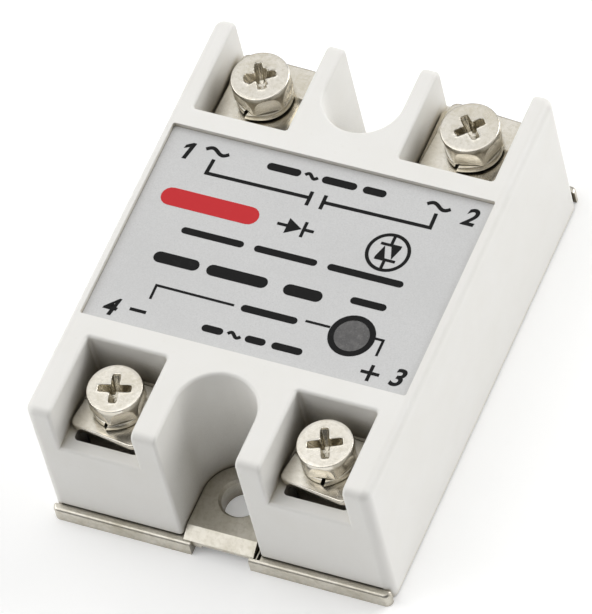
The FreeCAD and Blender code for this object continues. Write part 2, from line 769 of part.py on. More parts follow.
def build_nodes():
    nodes = {
        "base_plate": base_plate(),
        "housing": housing(),
        "seal_gasket": seal_gasket(),
        "label": label(),
        "light_pipe": light_pipe(),
        "indicator_led": indicator_led(),
        "circuit_board": circuit_board(),
        "ceramic_insulator": ceramic_insulator(),
        "heat_spreader": heat_spreader(),
        "power_triac": power_triac(),
        "optocoupler": optocoupler(),
        "resistors": resistors(),
        "input_diode": input_diode(),
        "snubber_capacitor": snubber_capacitor(),
        "varistor": varistor(),
        "drive_transistor": drive_transistor(),
    }
    inside = [nodes[name] for name in ("ceramic_insulator", "heat_spreader", "power_triac")]
    nodes["potting_compound"] = potting_compound(inside)
    for terminal in TERMINALS:
        number = terminal.number
        nodes["terminal_bar_%d" % number] = terminal_bar(terminal)
        nodes["terminal_nut_%d" % number] = terminal_nut(terminal)
        nodes["clamp_plate_%d" % number] = clamp_plate(terminal)
        nodes["spring_washer_%d" % number] = spring_washer(terminal)
        nodes["terminal_screw_%d" % number] = terminal_screw(terminal)
    return nodes


def main():
    os.makedirs("parts", exist_ok=True)
    for name, shape in build_nodes().items():
        box_size = shape.BoundBox
        print("%-22s solids %d valid %s volume %.1f  x %.2f..%.2f y %.2f..%.2f z %.2f..%.2f" % (
            name, len(shape.Solids), shape.isValid(), shape.Volume,
            box_size.XMin, box_size.XMax, box_size.YMin, box_size.YMax, box_size.ZMin, box_size.ZMax))
        shape.exportStep("parts/%s.step" % name)


main()
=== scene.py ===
import json
import math
import bpy
from mathutils import Matrix, Vector, noise


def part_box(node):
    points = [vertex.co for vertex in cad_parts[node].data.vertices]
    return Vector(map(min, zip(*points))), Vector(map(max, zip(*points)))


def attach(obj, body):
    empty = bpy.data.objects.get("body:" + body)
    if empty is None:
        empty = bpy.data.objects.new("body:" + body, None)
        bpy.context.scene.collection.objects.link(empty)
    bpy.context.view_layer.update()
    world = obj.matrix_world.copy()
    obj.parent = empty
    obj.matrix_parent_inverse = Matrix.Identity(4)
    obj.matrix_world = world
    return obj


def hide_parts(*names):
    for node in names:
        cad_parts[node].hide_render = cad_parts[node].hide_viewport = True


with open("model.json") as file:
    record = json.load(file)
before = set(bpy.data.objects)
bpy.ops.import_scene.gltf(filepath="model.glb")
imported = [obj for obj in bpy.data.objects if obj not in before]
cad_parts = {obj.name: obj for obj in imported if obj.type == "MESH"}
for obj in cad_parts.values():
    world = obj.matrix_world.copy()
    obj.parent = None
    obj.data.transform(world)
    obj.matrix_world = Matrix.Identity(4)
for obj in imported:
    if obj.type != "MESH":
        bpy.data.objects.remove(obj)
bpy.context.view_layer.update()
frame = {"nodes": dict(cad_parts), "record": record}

# Lengths in this file are millimetres; meshes are scaled to metres as they are made.
MM = 0.001
LABEL_TOP = 21.85
PRINT_T = 0.02

# The terminals' turns about Z in degrees, as the CAD has them; the reach of each driver cross and its wear
TERMINALS = {
    1: {"plate": -1.5, "cross": 30.0, "hexagon": 3.0, "split": -110.0, "reach": 2.0, "wear": 1.0},
    2: {"plate": -4.0, "cross": 46.0, "hexagon": 42.0, "split": -105.0, "reach": 1.95, "wear": 0.5},
    3: {"plate": -7.0, "cross": 23.5, "hexagon": 39.0, "split": -81.0, "reach": 2.2, "wear": 0.1},
    4: {"plate": -7.0, "cross": 14.5, "hexagon": 5.0, "split": -96.0, "reach": 2.1, "wear": 0.2},
}


# What differs between the output end (terminals 1 and 2) and the input end (3 and 4): the screw head's
# width over flats and face radius, and the clamp plate's size, bend and turn
OUTPUT_END = {"flats": 6.6, "face_r": 3.56, "width": 11.2, "depth": 11.2, "thick": 0.9,
              "step": 0.3, "step_y": 0.8, "turn": 0.0}
INPUT_END = {"flats": 6.3, "face_r": 3.36, "width": 9.4, "depth": 8.9, "thick": 1.0,
             "step": 0.25, "step_y": 0.35, "turn": 180.0}


def end_of(number):
    return INPUT_END if number > 2 else OUTPUT_END


# Node materials


class Shader:
    """A Principled material and short ways to add nodes to it."""

    def __init__(self, name, colour, roughness, metallic=0.0, **sockets):
        self.material = bpy.data.materials.new(name)
        self.material.use_nodes = True
        self.tree = self.material.node_tree
        self.bsdf = self.tree.nodes["Principled BSDF"]
        self.set("Base Color", (*colour, 1.0))
        self.set("Roughness", roughness)
        self.set("Metallic", metallic)
        for socket, value in sockets.items():
            self.set(socket.replace("_", " "), value)
        self.height = None

    def set(self, socket, value):
        self.bsdf.inputs[socket].default_value = value

    def link(self, out, into):
        self.tree.links.new(out, into)

    def node(self, kind, **props):
        made = self.tree.nodes.new("ShaderNode" + kind)
        for prop, value in props.items():
            setattr(made, prop, value)
        return made

    def place(self, stretch=(1, 1, 1), turn=(0, 0, 0)):
        """Object coordinates, stretched and turned."""
        mapping = self.node("Mapping")
        mapping.inputs["Scale"].default_value = stretch
        mapping.inputs["Rotation"].default_value = [math.radians(a) for a in turn]
        self.link(self.node("TexCoord").outputs["Object"], mapping.inputs["Vector"])
        return mapping.outputs["Vector"]

    def noise(self, per_m, detail=3.0, rough=0.5, stretch=(1, 1, 1), turn=(0, 0, 0)):
        made = self.node("TexNoise")
        made.inputs["Scale"].default_value = per_m
        made.inputs["Detail"].default_value = detail
        made.inputs["Roughness"].default_value = rough
        self.link(self.place(stretch, turn), made.inputs["Vector"])
        return made.outputs["Fac"]

    def voronoi(self, per_m):
        made = self.node("TexVoronoi")
        made.inputs["Scale"].default_value = per_m
        self.link(self.place(), made.inputs["Vector"])
        return made.outputs["Distance"]

    def steps(self, factor, stops):
        """A value for each factor, from (position, value) pairs with straight lines between."""
        ramp = self.node("ValToRGB")
        elements = ramp.color_ramp.elements
        while len(elements) < len(stops):
            elements.new(0.5)
        for element, (position, value) in zip(elements, stops):
            element.position = position
            element.color = (value, value, value, 1) if isinstance(value, (int, float)) else (*value, 1)
        self.link(factor, ramp.inputs["Fac"])
        return ramp.outputs["Color"]

    def tint(self, factor, colour):
        """Mixes a colour over the base colour so far, as much as factor says."""
        mix = self.node("Mix", data_type="RGBA")
        into = self.bsdf.inputs["Base Color"]
        if into.is_linked:
            self.link(into.links[0].from_socket, mix.inputs["A"])
        else:
            mix.inputs["A"].default_value = into.default_value
        mix.inputs["B"].default_value = (*colour, 1.0)
        self.link(factor, mix.inputs["Factor"])
        self.link(mix.outputs["Result"], into)

    def paint_hollow_shade(self, reach, low, high, colour, most=1.0):
        """Painted shade: darkens the colour where the surface is closed in within reach mm."""
        shade = self.node("AmbientOcclusion", samples=8)
        shade.inputs["Distance"].default_value = reach * MM
        self.tint(self.steps(shade.outputs["AO"], [(low, most), (high, 0.0)]), colour)

    def vary(self, socket, factor, low, high):
        """Runs a socket from low to high as factor goes from 0 to 1."""
        span = self.node("MapRange")
        span.inputs["To Min"].default_value = low
        span.inputs["To Max"].default_value = high
        self.link(factor, span.inputs["Value"])
        self.link(span.outputs["Result"], self.bsdf.inputs[socket])

    def bump(self, factor, depth, strength=1.0):
        """Relief of the given depth in mm, on top of any before it."""
        made = self.node("Bump")
        made.inputs["Distance"].default_value = depth * MM
        made.inputs["Strength"].default_value = strength
        self.link(factor, made.inputs["Height"])
        if self.height is not None:
            self.link(self.height, made.inputs["Normal"])
        self.height = made.outputs["Normal"]
        self.link(self.height, self.bsdf.inputs["Normal"])


def plastic(name, colour, roughness, mottle, hollow_shade_colour):
    """Moulded plastic: a fine spark-eroded grain, slight mottling, and painted shade in its corners and
    hollows.
    """
    s = Shader(name, colour, roughness, IOR=1.5)
    s.tint(s.steps(s.noise(160, 4.0), [(0.35, 0.0), (0.75, 0.5)]), mottle)
    s.tint(s.steps(s.noise(1500, 2.0), [(0.66, 0.0), (0.74, 0.35)]), mottle)
    # Painted shade: darker deep in the notch and recesses, brownish in creases and contact lines, and near
    # black in deep slits such as the nut pockets
    s.paint_hollow_shade(15.0, 0.08, 0.34, [c * 0.5 for c in hollow_shade_colour], 0.8)
    s.paint_hollow_shade(1.6, 0.25, 0.8, hollow_shade_colour)
    s.paint_hollow_shade(5.0, 0.04, 0.20, (0.03, 0.027, 0.024), 0.95)
    s.vary("Roughness", s.noise(420, 3.0), roughness - 0.07, roughness + 0.1)
    s.bump(s.noise(7000, 2.0), 0.012, 0.5)
    s.bump(s.noise(90, 2.0), 0.08, 0.25)
    return s.material


def plated(name, colour, roughness, stain, scratches=0.35, hole_shade=0.0):
    """Plated metal: a soft uneven sheen, stains, fine scratches one way, small pits and painted shade in its
    creases.
    The last argument says how much painted shade darkens it in holes and between walls."""
    s = Shader(name, colour, roughness, 1.0)
    s.tint(s.steps(s.noise(260, 5.0, 0.6), [(0.42, 0.0), (0.72, 0.55)]), stain)
    s.tint(s.steps(s.noise(1700, 3.0, 0.6), [(0.46, 0.0), (0.66, 0.32)]), stain)
    s.tint(s.steps(s.voronoi(1900), [(0.04, 0.45), (0.10, 0.0)]), [c * 0.5 for c in stain])
    # Painted shade: brownish dark between head, washer and clamp and in other tight creases; the next line
    # darkens deep holes and gaps between walls
    s.paint_hollow_shade(1.2, 0.20, 0.72, (0.23, 0.20, 0.13), 0.85)
    s.paint_hollow_shade(6.0, 0.12, 0.55, (0.15, 0.13, 0.10), hole_shade)
    s.vary("Roughness", s.noise(520, 4.0, 0.6), roughness - 0.10, roughness + 0.12)
    s.bump(s.noise(900, 3.0, 0.6, stretch=(1, 14, 1), turn=(0, 0, 28)), 0.012, scratches)
    s.bump(s.noise(2600, 3.0), 0.010, 0.3)
    s.bump(s.noise(160, 2.0), 0.03, 0.25)
    return s.material


def label_film():
    """Silver film with a fine metallic grain."""
    s = Shader("silver_film", (0.57, 0.57, 0.565), 0.44, 0.22)
    s.tint(s.steps(s.noise(5200, 2.0), [(0.40, 0.0), (0.62, 0.35)]), (0.67, 0.67, 0.67))
    s.tint(s.steps(s.noise(6400, 2.0), [(0.56, 0.0), (0.74, 0.40)]), (0.40, 0.40, 0.41))
    s.tint(s.steps(s.noise(120, 3.0), [(0.40, 0.0), (0.80, 0.30)]), (0.50, 0.50, 0.495))
    s.vary("Roughness", s.noise(3000, 2.0), 0.34, 0.52)
    s.bump(s.noise(8000, 2.0), 0.008, 0.4)
    s.bump(s.noise(60, 2.0), 0.10, 0.12)
    return s.material


def ink(name, colour, worn):
    """Screen-printed ink, a little thin in places."""
    s = Shader(name, colour, 0.62, Specular_IOR_Level=0.15)
    s.tint(s.steps(s.noise(900, 5.0, 0.65), [(0.58, 0.0), (0.80, 0.35)]), worn)
    s.vary("Roughness", s.noise(1400, 2.0), 0.55, 0.72)
    s.bump(s.noise(5000, 2.0), 0.006, 0.4)
    return s.material


def smoked_window():
    """The dark window over the indicator: smoky plastic with small moulded dimples and dust."""
    s = Shader("smoked_window", (0.075, 0.073, 0.072), 0.30, IOR=1.49, Coat_Weight=0.2)
    s.tint(s.steps(s.noise(1900, 4.0, 0.6), [(0.45, 0.0), (0.70, 0.6)]), (0.15, 0.145, 0.14))
    s.tint(s.steps(s.voronoi(3600), [(0.06, 0.7), (0.18, 0.0)]), (0.34, 0.33, 0.32))
    s.vary("Roughness", s.noise(1800, 2.0), 0.18, 0.36)
    s.bump(s.voronoi(2100), 0.03, 0.35)
    return s.material


def sealant():
    s = Shader("black_sealant", (0.012, 0.012, 0.012), 0.45)
    s.tint(s.steps(s.noise(700, 3.0), [(0.45, 0.0), (0.80, 0.5)]), (0.05, 0.045, 0.04))
    s.vary("Roughness", s.noise(800, 2.0), 0.30, 0.62)
    s.bump(s.noise(600, 3.0), 0.05, 0.5)
    return s.material


def board_laminate():
    """Green solder mask over tracks, with round tinned lands."""
    s = Shader("board_laminate", (0.01, 0.10, 0.035), 0.35)
    tracks = s.node("TexBrick", offset=0.37)
    tracks.inputs["Scale"].default_value = 260
    tracks.inputs["Mortar Size"].default_value = 0.06
    s.link(s.place(), tracks.inputs["Vector"])
    s.tint(s.steps(tracks.outputs["Fac"], [(0.2, 0.0), (0.8, 0.8)]), (0.02, 0.17, 0.06))
    s.tint(s.steps(s.voronoi(230), [(0.10, 1.0), (0.13, 0.0)]), (0.62, 0.62, 0.60))
    s.bump(tracks.outputs["Fac"], 0.03, 0.6)
    s.vary("Roughness", s.noise(900, 2.0), 0.26, 0.42)
    return s.material


def banded_resistor():
    """Beige lacquer with four colour bands across the body."""
    s = Shader("banded_resistor", (0.58, 0.42, 0.25), 0.35)
    bands = s.node("TexWave", bands_direction="X", wave_profile="SAW")
    bands.inputs["Scale"].default_value = 190
    s.link(s.place(), bands.inputs["Vector"])
    s.tint(s.steps(bands.outputs["Fac"], [(0.70, 0.0), (0.72, 1.0)]), (0.20, 0.03, 0.02))
    s.vary("Roughness", s.noise(900, 2.0), 0.25, 0.45)
    s.bump(s.noise(2500, 2.0), 0.01, 0.4)
    return s.material


def simple_grain(name, colour, other, roughness, per_m, depth, metallic=0.0, **sockets):
    """A plain finish with a second tone and a grain of the given scale."""
    s = Shader(name, colour, roughness, metallic, **sockets)
    s.tint(s.steps(s.noise(per_m, 4.0), [(0.40, 0.0), (0.70, 0.6)]), other)
    s.vary("Roughness", s.noise(per_m * 2, 2.0), roughness - 0.06, roughness + 0.1)
    s.bump(s.noise(per_m * 3, 2.0), depth, 0.5)
    return s.material


FINISHES = {
    # The plastic's last colour is the painted shade put into its hollows
    "housing_plastic": plastic("white_moulding", (0.80, 0.79, 0.76), 0.42, (0.76, 0.745, 0.70),
                               (0.54, 0.48, 0.37)),
    # nickel_base's last number is the strength of its painted shade in holes and between walls
    "plated_base": plated("nickel_base", (0.65, 0.62, 0.55), 0.34, (0.38, 0.345, 0.26), 0.45, 0.8),
    "plated_steel": plated("nickel_steel", (0.78, 0.745, 0.67), 0.22, (0.58, 0.53, 0.42)),
    "plated_brass": plated("nickel_brass", (0.82, 0.77, 0.67), 0.32, (0.62, 0.53, 0.36)),
    "label_film": label_film(),
    "indicator_window": smoked_window(),
    "sealant": sealant(),
    "potting": simple_grain("cast_resin", (0.02, 0.02, 0.02), (0.05, 0.05, 0.055), 0.35, 300, 0.04),
    "board": board_laminate(),
    "alumina": simple_grain("alumina", (0.80, 0.79, 0.76), (0.70, 0.69, 0.66), 0.55, 1400, 0.01),
    "copper": simple_grain("rolled_copper", (0.72, 0.36, 0.22), (0.50, 0.24, 0.14), 0.30, 500, 0.02, 1.0),
    "moulding_black": simple_grain("black_moulding", (0.02, 0.02, 0.022), (0.05, 0.05, 0.05),
                                   0.5, 1500, 0.02),
    "resistor_body": banded_resistor(),
    "capacitor_case": simple_grain("yellow_case", (0.72, 0.50, 0.06), (0.80, 0.62, 0.12), 0.30, 900, 0.01),
    "varistor_coat": simple_grain("blue_dip", (0.05, 0.12, 0.42), (0.08, 0.17, 0.52), 0.30, 500, 0.04),
    "led_lens": simple_grain("red_lens", (0.45, 0.01, 0.01), (0.60, 0.03, 0.02),
                             0.15, 800, 0.01, 0.0, IOR=1.5),
}
BLACK_INK = ink("black_ink", (0.008, 0.008, 0.008), (0.035, 0.035, 0.035))
RED_INK = ink("red_ink", (0.52, 0.03, 0.035), (0.58, 0.07, 0.07))


# Mesh building


def turned(points, degrees, centre=(0.0, 0.0, 0.0)):
    """Points turned about a vertical axis at the origin, then moved to centre."""
    a = math.radians(degrees)
    c, s = math.cos(a), math.sin(a)
    cx, cy, cz = centre
    return [(x * c - y * s + cx, x * s + y * c + cy, z + cz) for x, y, z in points]


def skin(loops, ring=False):
    """Vertices and faces through closed loops of points, bottom to top, closed at both ends.
    A loop may have a whole number of times the points of the next one. ring joins the last to the first."""
    verts, faces, starts = [], [], []
    for loop in loops:
        starts.append(len(verts))
        verts += loop
    order = list(range(len(loops))) + ([0] if ring else [])
    for a, b in zip(order, order[1:]):
        faces += bridge(starts[a], len(loops[a]), starts[b], len(loops[b]))
    if not ring:
        for index, flip in ((0, True), (-1, False)):
            loop = loops[index]
            centre = [sum(axis) / len(loop) for axis in zip(*loop)]
            fan = range(starts[index], starts[index] + len(loop))
            faces += fan_faces(list(fan), len(verts), flip)
            verts.append(tuple(centre))
    return verts, faces


def bridge(a, count_a, b, count_b):
    """Faces between two loops that start at vertices a and b."""
    few = min(count_a, count_b)
    step_a, step_b = count_a // few, count_b // few
    faces = []
    for i in range(few):
        low = [a + (i * step_a + k) % count_a for k in range(step_a + 1)]
        high = [b + (i * step_b + k) % count_b for k in range(step_b + 1)]
        faces.append(low + high[::-1])
    return faces


def fan_faces(loop, hub, flip):
    """Triangles from a loop of vertices to the vertex at its hub."""
    pairs = zip(loop, loop[1:] + loop[:1])
    return [(b, a, hub) if flip else (a, b, hub) for a, b in pairs]


def piece(name, built, body, finish, replaced=(), sharp_deg=35.0):
    """A mesh object from (verts, faces) in mm, riding a body and standing for CAD nodes."""
    verts, faces = built
    mesh = bpy.data.meshes.new(name)
    mesh.from_pydata([Vector(v) * MM for v in verts], [], faces)
    mesh.validate()
    mesh.shade_smooth()
    mesh.set_sharp_from_angle(angle=math.radians(sharp_deg))
    mesh.materials.append(finish)
    made = bpy.data.objects.new(name, mesh)
    bpy.context.scene.collection.objects.link(made)
    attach(made, body)
    if replaced:
        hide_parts(*replaced)
    return made


def merged(parts):
    """Several (verts, faces) as one."""
    verts, faces = [], []
    for more_verts, more_faces in parts:
        shift = len(verts)
        verts += more_verts
        faces += [[i + shift for i in face] for face in more_faces]
    return verts, faces


def node_box(node):
    low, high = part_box(node)
    return [c / MM for c in low], [c / MM for c in high]


def axis_of(node):
    """A node's middle in X and Y and its lowest and highest Z, in mm."""
    low, high = node_box(node)
    return (low[0] + high[0]) / 2, (low[1] + high[1]) / 2, low[2], high[2]


def smooth_min(a, b, k):
    """The smaller of two values, with a rounded change from one to the other, k wide."""
    low = min(a, b)
    return low - k * math.log(math.exp((low - a) / k) + math.exp((low - b) / k))


def around(count, radius, z):
    """A loop whose radius and height are functions of the angle in radians, or plain numbers."""
    loop = []
    for i in range(count):
        a = 2 * math.pi * i / count
        r = radius(a) if callable(radius) else radius
        h = z(a) if callable(z) else z
        loop.append((r * math.cos(a), r * math.sin(a), h))
    return loop


# Terminal screws: round heads with six leaning flats, a cross recess, and a helical thread

HEAD_N = 240
SHANK_N = 48
THREAD_CREST = 1.95
THREAD_ROOT = 1.62
THREAD_PITCH = 0.7
FLAT_RUN_OUT = 0.35
HEAD_SWELL = 0.17
HEAD_SHOULDER = 0.5
FACE_EDGE = 0.12
CROSS_DEPTH = 1.9
CROSS_HALF_W = 0.55
CROSS_POWER = 7
# Notches that a slipping driver has cut beside a worn cross: angle, length and half width
SLIPS = ((158.0, 1.85, 0.2), (203.0, 1.6, 0.26), (292.0, 1.6, 0.24), (52.0, 1.3, 0.35))


def thread_radius(z, bottom, top):
    """The thread's radius at height z, as a function of the angle: one start, right-handed."""
    fade = min(1.0, (top - z) / 0.5, (z - bottom) / 0.6 + 0.1)

    def radius(angle):
        phase = (z / THREAD_PITCH - angle / (2 * math.pi)) % 1.0
        ridge = min(1.0, max(0.0, 1.35 - 3.1 * abs(phase - 0.5)))
        return THREAD_ROOT + (THREAD_CREST - THREAD_ROOT) * ridge * max(0.0, fade)
    return radius


def shank_loops(length):
    tip = [around(SHANK_N, THREAD_ROOT - 0.35, -length), around(SHANK_N, THREAD_ROOT, -length + 0.3)]
    levels = int((length - 0.35) / (THREAD_PITCH / 8))
    heights = [-length + 0.35 + (length - 0.35) * i / levels for i in range(levels + 1)]
    return tip + [around(SHANK_N, thread_radius(z, -length, -0.05), z) for z in heights]


def head_side(flats, face_r, height, turn):
    """A function of z that gives the head's radius as a function of the angle."""
    rim_z = height - FACE_EDGE
    shoulder_z = height - HEAD_SHOULDER
    lean_out = face_r + HEAD_SWELL - flats / 2

    def side(z):
        share = min(1.0, max(0.0, (z - shoulder_z) / (rim_z - shoulder_z)))
        body = face_r + HEAD_SWELL + (0.1 - HEAD_SWELL) * share
        half = flats / 2 + lean_out * (z / (height - FLAT_RUN_OUT)) ** 2.5

        def radius(angle):
            off = (math.degrees(angle) - turn + 30) % 60 - 30
            return smooth_min(half / math.cos(math.radians(off)), body, 0.012)
        return radius
    return side


def head_loops(flats, face_r, height, turn):
    """The head's underside, its flats and its rim, up to the edge of the round face."""
    side = head_side(flats, face_r, height, turn)
    rim_z = height - FACE_EDGE
    foot = side(0.0)
    loops = [around(HEAD_N, THREAD_ROOT + 0.25, 0.0)]
    for inset, z in ((0.22, 0.0), (0.10, 0.03), (0.03, 0.09), (0.0, 0.2)):
        loops.append(around(HEAD_N, lambda angle, inset=inset: foot(angle) - inset, z))
    rows = 24
    heights = [0.2 + (rim_z - 0.2) * i / rows for i in range(1, rows + 1)]
    loops += [around(HEAD_N, side(z), z) for z in heights]
    for step in range(1, 5):
        a = math.radians(22.5 * step)
        edge_r = face_r + 0.1 - FACE_EDGE * (1 - math.cos(a))
        loops.append(around(HEAD_N, edge_r, rim_z + FACE_EDGE * math.sin(a)))
    return loops


def cross_radius(length, half_w, notches=()):
    """The outline of a cross seen from its middle, with worn notches beside it."""
    def arm(angle, at, reach, half):
        off = abs((math.degrees(angle) - at + 180) % 360 - 180)
        if off >= 89:
            return 0.0
        a = math.radians(off)
        end = reach / math.cos(a)
        side = half / max(math.sin(a), 1e-4)
        return (end ** -CROSS_POWER + side ** -CROSS_POWER) ** (-1 / CROSS_POWER)

    arms = [(at, length, half_w) for at in (0, 90, 180, 270)] + list(notches)
    return lambda angle: sum(arm(angle, *one) ** CROSS_POWER for one in arms) ** (1 / CROSS_POWER)


def worn_mouth(terminal):
    """The cross recess's mouth as a function of the angle, chewed where a driver has slipped."""
    wear = terminal["wear"]
    clean = cross_radius(terminal["reach"], CROSS_HALF_W, SLIPS if wear > 0.8 else ())

    def mouth(angle):
        jagged = ripple(angle, terminal["cross"]) + 0.8 * ripple(angle, terminal["cross"] + 3, 17)
        return clean(angle) + 0.13 * wear * jagged
    return mouth


def ripple(angle, seed, rate=5):
    """A smooth random value around the circle, from about -1 to 1; rate says how fast it changes."""
    return noise.noise(Vector((rate * math.cos(angle), rate * math.sin(angle), seed)))


def face_loops(terminal, face_r, height):
    """The flat round face, the burr around the cross recess, and the recess's tapering walls and floor."""
    wear, seed = terminal["wear"], terminal["cross"] + 7
    mouth = worn_mouth(terminal)
    floor = cross_radius(0.75, 0.30)
    outer = face_r + 0.1 - FACE_EDGE

    def flat(share):
        def radius(angle):
            near = mouth(angle) + 0.3
            return near + (outer - near) * share
        return around(HEAD_N, radius, height)

    def burr(away, lift):
        def level(angle):
            return height + lift * (0.012 + 0.05 * wear * (0.5 + ripple(angle, seed)))
        return around(HEAD_N, lambda angle: mouth(angle) + away, level)

    loops = [flat(share) for share in (0.8, 0.5, 0.2)]
    profile = ((0.3, 0.0), (0.2, 0.3), (0.1, 1.0), (0.04, 0.6), (0.0, -1.0))
    loops += [burr(away, lift) for away, lift in profile]
    rows = 12
    for row in range(rows + 1):
        down = row / rows
        z = height - 0.1 - (CROSS_DEPTH - 0.1) * down

        def radius(angle, down=down):
            wide = mouth(angle) - 0.03
            return wide + (floor(angle) - wide) * down ** 1.1
        loops.append(around(HEAD_N, radius, z))
    return loops + [around(HEAD_N, lambda angle: 0.4 * floor(angle), height - CROSS_DEPTH - 0.08)]


def terminal_screw(number):
    terminal = TERMINALS[number]
    node = f"terminal_screw_{number}"
    x, y, tip, top = axis_of(node)
    seat = axis_of(f"spring_washer_{number}")[3]
    end = end_of(number)
    height = top - seat
    loops = shank_loops(seat - tip)
    loops += head_loops(end["flats"], end["face_r"], height, terminal["hexagon"] - terminal["cross"])
    loops += face_loops(terminal, end["face_r"], height)
    loops = [turned(loop, terminal["cross"], (x, y, seat)) for loop in loops]
    piece(f"screw_{number}_threaded", skin(loops), f"screw_{number}", FINISHES["plated_steel"],
          [node], 28.0)


# Lock washers: a sprung split ring with rounded corners

WASHER_N = 150
WASHER_BORE_R = 2.16
WASHER_CORNER_R = 0.14
SPLIT_HALF_DEG = 4.0


def rounded_section(inner, outer, low, high, radius):
    """A rectangle's outline with rounded corners, as (r, z) points."""
    points = []
    corners = ((outer, high, 0), (inner, high, 90), (inner, low, 180), (outer, low, 270))
    for r, z, start in corners:
        cr = r - radius if r == outer else r + radius
        cz = z - radius if z == high else z + radius
        for step in range(4):
            a = math.radians(start + 30 * step)
            points.append((cr + radius * math.cos(a), cz + radius * math.sin(a)))
    return points


def washer_loops(outer, thick):
    """Sections from one end of the split to the other: both ends cut askew, the first sprung up and out."""
    section = rounded_section(WASHER_BORE_R, outer, 0.0, thick - 0.04, WASHER_CORNER_R)
    loops = []
    for i in range(WASHER_N + 1):
        share = i / WASHER_N
        a = math.radians(SPLIT_HALF_DEG + (360 - 2 * SPLIT_HALF_DEG) * share)
        end = max(0.0, 1 - share * 12) - max(0.0, 1 - (1 - share) * 12)
        spread = 0.4 * max(0.0, 1 - share * 10) ** 2
        rise = 0.02 - 0.02 * end
        loop = []
        for r, z in section:
            askew = a + (z - thick / 2) * 0.11 * abs(end)
            loop.append(((r + spread) * math.cos(askew), (r + spread) * math.sin(askew), z + rise))
        loops.append(loop)
    return loops


def spring_washer(number):
    node = f"spring_washer_{number}"
    x, y, low, high = axis_of(node)
    outer = (node_box(node)[1][1] - node_box(node)[0][1]) / 2 - 0.01
    split = TERMINALS[number]["split"]
    loops = [turned(loop, split, (x, y, low)) for loop in washer_loops(outer, high - low)]
    piece(f"washer_{number}_sprung", skin(loops), f"clamp_{number}", FINISHES["plated_steel"],
          [node], 30.0)


# Clamp plates: stamped, with rolled edges and a joggle across the middle

PLATE_N = 160
PLATE_ROWS = 14
PLATE_HOLE_R = 2.15
PLATE_CORNER_POWER = 11
BEND_RUN = 0.6


def plate_edge(end, angle):
    """The distance from the plate's middle to its outline, a rectangle with rounded corners."""
    c = abs(math.cos(angle)) / (end["width"] / 2)
    s = abs(math.sin(angle)) / (end["depth"] / 2)
    return (c ** PLATE_CORNER_POWER + s ** PLATE_CORNER_POWER) ** (-1 / PLATE_CORNER_POWER)


def bend_rise(end, y):
    """How far the plate's bend lifts it at y."""
    t = min(1.0, max(0.0, (y - end["step_y"]) / BEND_RUN + 0.5))
    return end["step"] * t * t * (3 - 2 * t)


def plate_loop(end, share, z, inset):
    """A loop that lies a share of the way from the hole to the outline, less inset."""
    points = []
    for i in range(PLATE_N):
        a = 2 * math.pi * i / PLATE_N
        r = PLATE_HOLE_R + (plate_edge(end, a) - PLATE_HOLE_R) * share - inset
        x, y = r * math.cos(a), r * math.sin(a)
        points.append((x, y, z + bend_rise(end, y)))
    return points


def clamp_plate(number):
    node = f"clamp_plate_{number}"
    end = end_of(number)
    thick = end["thick"]
    x, y, low, high = axis_of(node)
    shares = [i / PLATE_ROWS for i in range(1, PLATE_ROWS)]
    top = [(share, thick, 0.0) for share in shares]
    rim = [(1, thick, 0.22), (1, thick - 0.03, 0.11), (1, thick - 0.09, 0.04), (1, thick - 0.2, 0.0),
           (1, 0.08, 0.0), (1, 0.02, 0.02), (1, 0.0, 0.08)]
    bottom = [(share, 0.0, 0.0) for share in reversed(shares)]
    bore = [(0, 0.0, -0.08), (0, 0.06, 0.0), (0, thick - 0.1, 0.0), (0, thick - 0.02, -0.05),
            (0, thick, -0.12)]
    turn = TERMINALS[number]["plate"] + end["turn"]
    loops = [turned(plate_loop(end, *row), turn, (x, y, low)) for row in top + rim + bottom + bore]
    piece(f"clamp_{number}_stamped", skin(loops, ring=True), f"clamp_{number}", FINISHES["plated_steel"],
          [node], 30.0)


# Label print: thin raised ink

# Rows of bars that stand in for words: first and last X, Y, height, relative lengths and the space between
WORD_ROWS = (
    (-7.9, -3.4, 11.45, 1.05, (1,), 1.0),
    (-0.6, 7.9, 11.45, 1.05, (3, 2), 0.8),
    (-14.4, 14.9, -0.32, 0.95, (5, 5, 6), 1.4),
    (-16.2, -1.1, -4.8, 1.6, (3, 4), 1.0),
    (1.0, 6.1, -4.8, 1.6, (1,), 1.0),
    (9.5, 14.2, -4.05, 1.0, (1,), 1.0),
    (-2.9, 4.5, -8.85, 1.0, (1,), 1.0),
    (-6.4, -3.6, -12.85, 1.0, (1,), 1.0),
    (-0.7, 6.8, -12.85, 1.0, (2, 3), 0.8),
)


def ink_prism(outline):
    """A flat shape of ink from its outline in X and Y, counter-clockwise."""
    low = [(x, y, LABEL_TOP - 0.005) for x, y in outline]
    high = [(x, y, LABEL_TOP + PRINT_T) for x, y in outline]
    count = len(outline)
    faces = [list(range(count))[::-1], list(range(count, 2 * count))]
    faces += [[i, (i + 1) % count, count + (i + 1) % count, count + i] for i in range(count)]
    return low + high, faces


def stroke(points, width=0.36):
    """The outline of a line of even width along points, mitred at its corners, with square ends."""
    normals = []
    for a, b in zip(points, points[1:]):
        length = math.dist(a, b)
        normals.append(((a[1] - b[1]) / length, (b[0] - a[0]) / length))
    left, right = [], []
    for i, (x, y) in enumerate(points):
        ax, ay = normals[max(i - 1, 0)]
        bx, by = normals[min(i, len(normals) - 1)]
        reach = width / 2 / (1 + ax * bx + ay * by)
        left.append((x + (ax + bx) * reach, y + (ay + by) * reach))
        right.append((x - (ax + bx) * reach, y - (ay + by) * reach))
    return right + left[::-1]


def pill(x0, x1, y, height):
    """A bar with round ends, which stands in for a word."""
    r = height / 2
    outline = []
    for x, start in ((x1 - r, -90), (x0 + r, 90)):
        for step in range(9):
            a = math.radians(start + 22.5 * step)
            outline.append((x + r * math.cos(a), y + r * math.sin(a)))
    return outline


